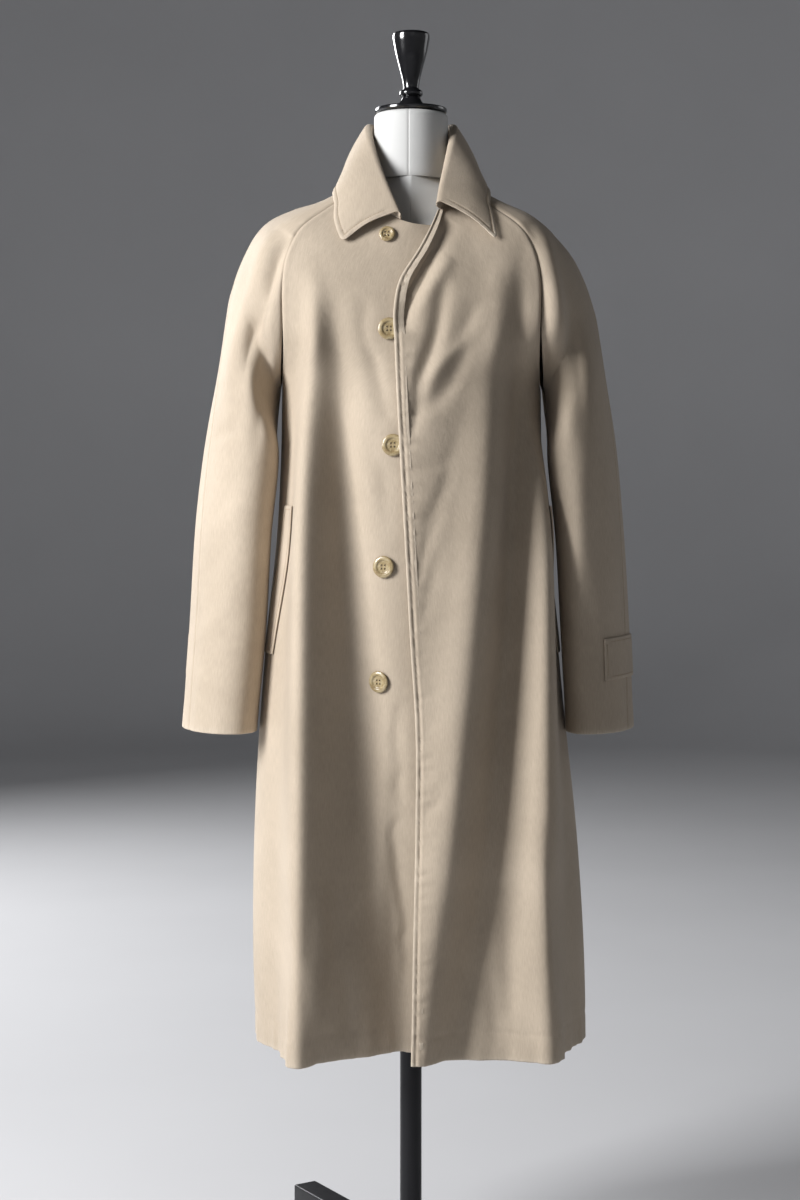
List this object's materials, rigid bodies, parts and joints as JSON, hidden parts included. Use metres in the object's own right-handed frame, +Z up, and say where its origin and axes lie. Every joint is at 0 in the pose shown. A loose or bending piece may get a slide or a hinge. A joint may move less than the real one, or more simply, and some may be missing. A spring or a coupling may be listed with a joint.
{
  "type": "raglan car coat on a dress form stand",
  "caption": "Long beige single-breasted raglan car coat, worn open, on a white limbless dress form with a black finial, pole and tripod base.",
  "frame": {"origin": "floor under the axis of the stand's pole", "axes": "+Z up along the pole, the coat's front faces -Y, the wearer's left side is +X"},
  "size_m": [0.5965, 0.5088, 1.634],
  "materials": {
    "gabardine": "matte cotton gabardine, fine twill, beige",
    "horn": "polished mottled horn, cream to yellow",
    "form_cover": "tight white jersey over the form",
    "black_lacquer": "turned wood in gloss black lacquer",
    "black_steel": "satin black enamel"
  },
  "bodies": {
    "root": {"right_front": "gabardine", "left_front": "gabardine", "back": "gabardine", "right_sleeve_front": "gabardine", "right_sleeve_back": "gabardine", "left_sleeve_front": "gabardine", "left_sleeve_back": "gabardine", "collar": "gabardine", "right_pocket_welt": "gabardine", "left_pocket_welt": "gabardine", "right_cuff_strap": "gabardine", "left_cuff_strap": "gabardine", "front_button_1": "horn", "front_button_2": "horn", "front_button_3": "horn", "front_button_4": "horn", "front_button_5": "horn", "form_torso": "form_cover", "form_neck": "form_cover", "form_neck_cap": "black_lacquer", "form_finial": "black_lacquer", "stand_pole": "black_steel", "stand_hub": "black_steel", "stand_leg_1": "black_steel", "stand_leg_2": "black_steel", "stand_leg_3": "black_steel", "stand_foot_1": "black_steel", "stand_foot_2": "black_steel", "stand_foot_3": "black_steel"}
  },
  "joints": []
}
